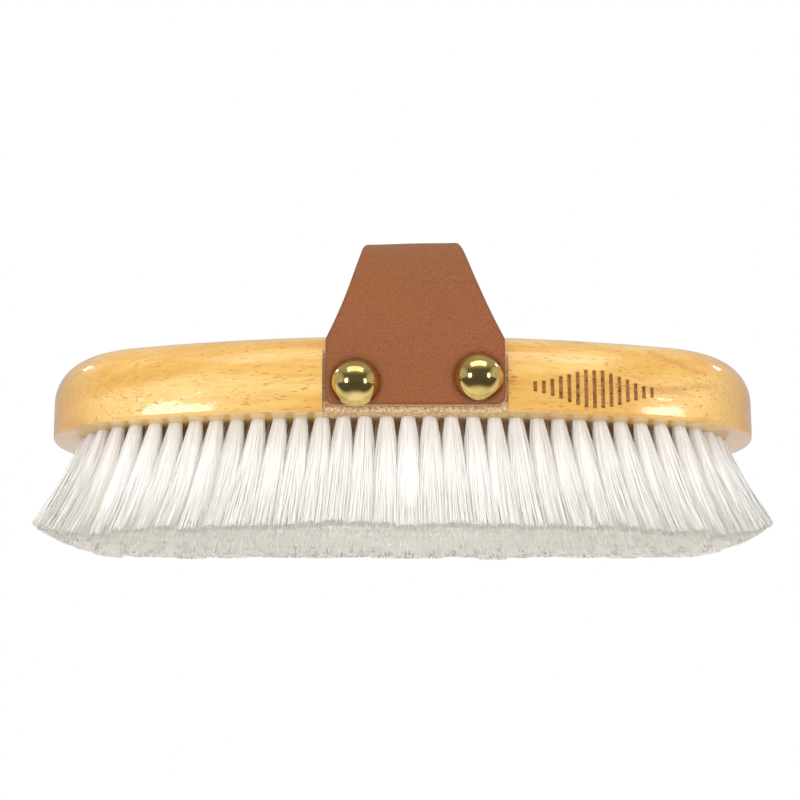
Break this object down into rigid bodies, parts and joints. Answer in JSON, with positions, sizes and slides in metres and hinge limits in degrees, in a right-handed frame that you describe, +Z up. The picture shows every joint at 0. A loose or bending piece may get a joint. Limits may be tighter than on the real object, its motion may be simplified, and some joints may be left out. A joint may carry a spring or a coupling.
{
  "type": "oval hand brush",
  "caption": "Oval wooden hand brush with a domed back, a flat field of pale hair tufts and a leather hand strap held by domed brass nails.",
  "frame": {"origin": "centre of the bristle face, where the level trimmed tips of the middle row rest on a table; the wooden block's underside is 31.8 mm above it", "axes": "+X along the brush, +Y across it away from the front with the ornament, +Z up out of the domed back; the tufts point to -Z"},
  "size_m": [0.2074, 0.1008, 0.0898],
  "materials": {
    "lacquered_wood": "clear gloss lacquer over light straight-grained wood",
    "hair": "off-white natural hair, soft sheen",
    "strap_leather": "mid-brown smooth leather with raw pale edges",
    "cap_brass": "polished",
    "shank_steel": "bright drawn wire",
    "anchor_wire": "bright flat wire"
  },
  "bodies": {
    "brush": {"block": "lacquered_wood", "tufts_ring_1": "hair", "tufts_ring_2": "hair", "tufts_ring_3": "hair", "tufts_ring_4": "hair", "tufts_ring_5": "hair", "tufts_middle_row": "hair", "anchors_ring_1": "anchor_wire", "anchors_ring_2": "anchor_wire", "anchors_ring_3": "anchor_wire", "anchors_ring_4": "anchor_wire", "anchors_ring_5": "anchor_wire", "anchors_middle_row": "anchor_wire", "strap_end_front": "strap_leather", "strap_end_back": "strap_leather", "nail_cap_front_left": "cap_brass", "nail_cap_front_right": "cap_brass", "nail_cap_back_left": "cap_brass", "nail_cap_back_right": "cap_brass", "nail_shank_front_left": "shank_steel", "nail_shank_front_right": "shank_steel", "nail_shank_back_left": "shank_steel", "nail_shank_back_right": "shank_steel"},
    "strap_crown": {"strap_crown": "strap_leather"}
  },
  "joints": [
    {"name": "strap_lift", "type": "slide", "parent": "brush", "child": "strap_crown", "axis": [0, 0, 1], "range_m": [-0.012, 0.005]}
  ]
}
